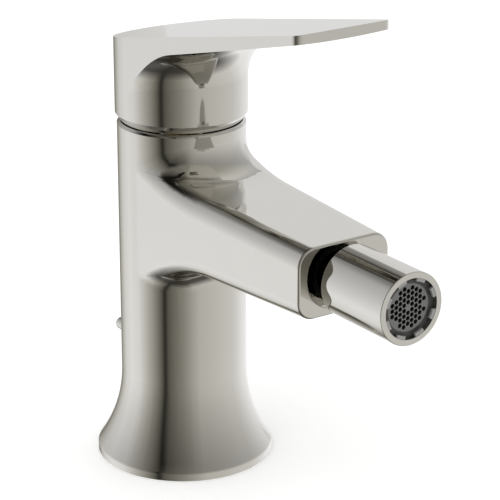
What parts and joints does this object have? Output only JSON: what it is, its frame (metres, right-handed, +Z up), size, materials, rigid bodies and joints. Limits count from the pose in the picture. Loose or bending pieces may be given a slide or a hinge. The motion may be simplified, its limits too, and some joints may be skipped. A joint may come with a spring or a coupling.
{
  "type": "bidet mixer",
  "caption": "Single-lever bidet mixer with a slanted drum handle, a level tapering spout, a swivelling round nozzle and a pull pin for the waste.",
  "frame": {"origin": "centre of the foot's underside, on the deck, at the axis of the round column", "axes": "+Z up along the column, -Y towards the user along spout, lever and nozzle, +X to the right of the spout seen from the front"},
  "size_m": [0.06, 0.1642, 0.1669],
  "materials": {
    "nickel": "satin",
    "stud_nickel": "satin",
    "raw_brass": "turned brass",
    "steel": "turned stainless steel",
    "ceramic_discs": "lapped alumina ceramic",
    "black_rubber": "moulded rubber",
    "cartridge_plastic": "moulded acetal",
    "red_plastic": "moulded acetal",
    "grey_plastic": "fine grain",
    "aerator_plastic": "moulded acetal",
    "grid_plastic": "moulded acetal"
  },
  "bodies": {
    "base": {"mixer_body": "nickel", "base_seal": "black_rubber", "cartridge_base": "cartridge_plastic", "inlet_seals": "black_rubber", "fixed_disc": "ceramic_discs", "cartridge_housing": "cartridge_plastic", "cartridge_o_ring": "black_rubber", "limit_ring": "red_plastic", "retaining_nut": "raw_brass", "cover_ring": "nickel", "ball_stud": "stud_nickel", "stud_o_ring": "black_rubber"},
    "guide": {"spindle_guide": "cartridge_plastic", "pivot_pin": "steel"},
    "lever": {"handle": "nickel", "spindle": "raw_brass", "grub_screw": "steel", "screw_plug": "grey_plastic"},
    "disc": {"moving_disc": "ceramic_discs", "disc_carrier": "cartridge_plastic"},
    "ball_ring": {"ball_o_ring": "black_rubber"},
    "nozzle": {"nozzle_sleeve": "nickel", "ball_seat": "cartridge_plastic", "ball_retainer": "cartridge_plastic", "aerator_housing": "aerator_plastic", "aerator_grid": "grid_plastic", "flow_regulator": "grid_plastic", "strainer": "steel", "aerator_seal": "black_rubber"},
    "pull": {"pull_pin": "nickel", "pull_shoe": "cartridge_plastic", "pull_rod": "raw_brass"}
  },
  "joints": [
    {"name": "handle_turn", "type": "hinge", "parent": "base", "child": "guide", "pos_m": [0, 0, 0.0975], "axis": [0, 0, 1], "range_deg": [-50, 50]},
    {"name": "handle_lift", "type": "hinge", "parent": "guide", "child": "lever", "pos_m": [0, 0, 0.0975], "axis": [-1, 0, 0], "range_deg": [0, 20]},
    {"name": "disc_shift", "type": "slide", "parent": "guide", "child": "disc", "axis": [0, -1, 0], "range_m": [0, 0.0026]},
    {"name": "nozzle_swivel", "type": "hinge", "parent": "base", "child": "ball_ring", "pos_m": [0, -0.0995, 0.09], "axis": [0, 1, 0], "continuous": true},
    {"name": "nozzle_tilt", "type": "hinge", "parent": "ball_ring", "child": "nozzle", "pos_m": [0, -0.0995, 0.09], "axis": [1, 0, 0], "range_deg": [-15, 15]},
    {"name": "pull_lift", "type": "slide", "parent": "base", "child": "pull", "axis": [0, 0, 1], "range_m": [0, 0.025]}
  ],
  "couplings": [
    {"joint": "disc_shift", "follows": "handle_lift", "m_per_rad": 0.0073486}
  ]
}
